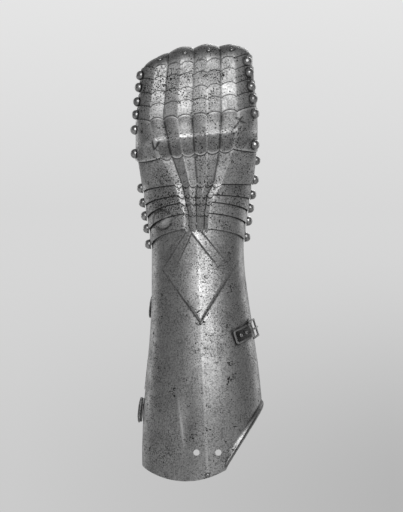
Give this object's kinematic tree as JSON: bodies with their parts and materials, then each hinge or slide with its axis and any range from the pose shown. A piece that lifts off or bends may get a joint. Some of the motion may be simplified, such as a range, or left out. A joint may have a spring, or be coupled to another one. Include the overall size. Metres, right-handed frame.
{
  "type": "mitten gauntlet",
  "caption": "Mitten gauntlet for a left hand with a long cuff, fluted hand plates, sliding lames at the wrist and fingers, a hinged palm-side plate and a strap buckle.",
  "frame": {"origin": "inside the forearm at the level of the cuff's lowest point", "axes": "+Z along the forearm from the elbow to the fingertips, -Y out of the back of the hand, +X towards the thumb"},
  "size_m": [0.1351, 0.1206, 0.4407],
  "materials": {
    "steel": "polished, finely pitted and scratched",
    "dark_steel": "dark, worn",
    "strap_leather": "old, matt"
  },
  "bodies": {
    "cuff": {"cuff": "steel", "lining_rivet": "steel", "edge_rivet": "steel", "buckle_chape": "dark_steel", "chape_rivet_1": "steel", "chape_rivet_2": "steel", "lower_hinge_cuff_leaf": "dark_steel", "lower_hinge_pin": "dark_steel", "upper_hinge_cuff_leaf": "dark_steel", "upper_hinge_pin": "dark_steel"},
    "palm_plate": {"palm_plate": "steel", "lower_hinge_palm_leaf": "dark_steel", "upper_hinge_palm_leaf": "dark_steel", "strap": "strap_leather", "strap_rivet": "steel"},
    "wrist_lame_4": {"wrist_lame_4": "steel", "wrist_5_rivet_left": "steel", "wrist_5_rivet_right": "steel"},
    "wrist_lame_3": {"wrist_lame_3": "steel", "wrist_4_rivet_left": "steel", "wrist_4_rivet_right": "steel"},
    "wrist_lame_2": {"wrist_lame_2": "steel", "wrist_3_rivet_left": "steel", "wrist_3_rivet_right": "steel"},
    "wrist_lame_1": {"wrist_lame_1": "steel", "wrist_2_rivet_left": "steel", "wrist_2_rivet_right": "steel"},
    "hand_plate": {"hand_plate": "steel", "thumb_rivet": "steel", "wrist_1_rivet_left": "steel", "wrist_1_rivet_right": "steel"},
    "knuckle_plate": {"knuckle_plate": "steel", "knuckle_rivet_left": "steel", "knuckle_rivet_right": "steel", "finger_lame_5_rivet_left": "steel", "finger_lame_5_rivet_right": "steel"},
    "finger_lame_5": {"finger_lame_5": "steel", "finger_lame_4_rivet_left": "steel", "finger_lame_4_rivet_right": "steel"},
    "finger_lame_4": {"finger_lame_4": "steel", "finger_lame_3_rivet_left": "steel", "finger_lame_3_rivet_right": "steel"},
    "finger_lame_3": {"finger_lame_3": "steel", "finger_lame_2_rivet_left": "steel", "finger_lame_2_rivet_right": "steel"},
    "finger_lame_2": {"finger_lame_2": "steel", "tip_lame_rivet_left": "steel", "tip_lame_rivet_right": "steel"},
    "tip_lame": {"tip_lame": "steel", "tip_small_rivet_1": "steel", "tip_small_rivet_2": "steel", "tip_small_rivet_3": "steel", "tip_small_rivet_4": "steel"},
    "thumb_base": {"thumb_base": "steel", "thumb_tip_rivet_front": "steel", "thumb_tip_rivet_back": "steel"},
    "thumb_tip": {"thumb_tip": "steel"},
    "buckle_loop": {"buckle_loop": "dark_steel"},
    "buckle_tongue": {"buckle_tongue": "dark_steel"}
  },
  "joints": [
    {"name": "wrist_5_pivot", "type": "hinge", "parent": "cuff", "child": "wrist_lame_4", "pos_m": [0, 0, 0.2409], "axis": [-0.9972, 0, -0.0748], "range_deg": [-2.5, 2.5]},
    {"name": "wrist_4_pivot", "type": "hinge", "parent": "wrist_lame_4", "child": "wrist_lame_3", "pos_m": [0, 0, 0.2572], "axis": [-0.9972, 0, -0.0748], "range_deg": [-2.5, 2.5]},
    {"name": "wrist_3_pivot", "type": "hinge", "parent": "wrist_lame_3", "child": "wrist_lame_2", "pos_m": [0, 0, 0.2702], "axis": [-0.9972, 0, -0.0748], "range_deg": [-2.5, 2.5]},
    {"name": "wrist_2_pivot", "type": "hinge", "parent": "wrist_lame_2", "child": "wrist_lame_1", "pos_m": [0, 0, 0.2839], "axis": [-0.9972, 0, -0.0748], "range_deg": [-2.5, 2.5]},
    {"name": "wrist_1_pivot", "type": "hinge", "parent": "wrist_lame_1", "child": "hand_plate", "pos_m": [0, 0, 0.299], "axis": [-0.9972, 0, -0.0748], "range_deg": [-2.5, 2.5]},
    {"name": "knuckle_pivot", "type": "hinge", "parent": "hand_plate", "child": "knuckle_plate", "pos_m": [0, -0.0335, 0.3327], "axis": [-0.9972, 0, -0.0748], "range_deg": [0, 7]},
    {"name": "finger_5_pivot", "type": "hinge", "parent": "knuckle_plate", "child": "finger_lame_5", "pos_m": [0, -0.0335, 0.3605], "axis": [-0.9909, 0, -0.1348], "range_deg": [0, 6]},
    {"name": "finger_4_pivot", "type": "hinge", "parent": "finger_lame_5", "child": "finger_lame_4", "pos_m": [0, -0.0332, 0.3755], "axis": [-0.9909, 0, -0.1348], "range_deg": [0, 6]},
    {"name": "finger_3_pivot", "type": "hinge", "parent": "finger_lame_4", "child": "finger_lame_3", "pos_m": [0, -0.0322, 0.3884], "axis": [-0.9909, 0, -0.1348], "range_deg": [0, 6]},
    {"name": "finger_2_pivot", "type": "hinge", "parent": "finger_lame_3", "child": "finger_lame_2", "pos_m": [0, -0.0302, 0.4028], "axis": [-0.9909, 0, -0.1348], "range_deg": [0, 6]},
    {"name": "tip_pivot", "type": "hinge", "parent": "finger_lame_2", "child": "tip_lame", "pos_m": [0, -0.0278, 0.4148], "axis": [-0.9909, 0, -0.1348], "range_deg": [0, 6]},
    {"name": "thumb_pivot", "type": "hinge", "parent": "hand_plate", "child": "thumb_base", "pos_m": [0.05875, -0.00164, 0.323], "axis": [0.9966, 0, -0.082], "range_deg": [-6, 10]},
    {"name": "thumb_tip_pivot", "type": "hinge", "parent": "thumb_base", "child": "thumb_tip", "pos_m": [0.04481, 0.03014, 0.34848], "axis": [0, -0.6108, 0.7918], "range_deg": [0, 20]},
    {"name": "palm_plate_hinge", "type": "hinge", "parent": "cuff", "child": "palm_plate", "pos_m": [-0.05404, 0.00888, 0.11963], "axis": [0.104, 0.1271, 0.9864], "range_deg": [0, 100]},
    {"name": "buckle_loop_pivot", "type": "hinge", "parent": "cuff", "child": "buckle_loop", "pos_m": [0.05406, -0.02064, 0.14999], "axis": [0.3009, 0.114, -0.9468], "range_deg": [0, 70]},
    {"name": "buckle_tongue_pivot", "type": "hinge", "parent": "buckle_loop", "child": "buckle_tongue", "pos_m": [0.05406, -0.02064, 0.14999], "axis": [0.3009, 0.114, -0.9468], "range_deg": [0, 60]}
  ],
  "couplings": [
    {"joint": "wrist_4_pivot", "follows": "wrist_5_pivot", "ratio": 1},
    {"joint": "wrist_3_pivot", "follows": "wrist_5_pivot", "ratio": 1},
    {"joint": "wrist_2_pivot", "follows": "wrist_5_pivot", "ratio": 1},
    {"joint": "wrist_1_pivot", "follows": "wrist_5_pivot", "ratio": 1},
    {"joint": "finger_4_pivot", "follows": "finger_5_pivot", "ratio": 1},
    {"joint": "finger_3_pivot", "follows": "finger_5_pivot", "ratio": 1},
    {"joint": "finger_2_pivot", "follows": "finger_5_pivot", "ratio": 1},
    {"joint": "tip_pivot", "follows": "finger_5_pivot", "ratio": 1}
  ]
}
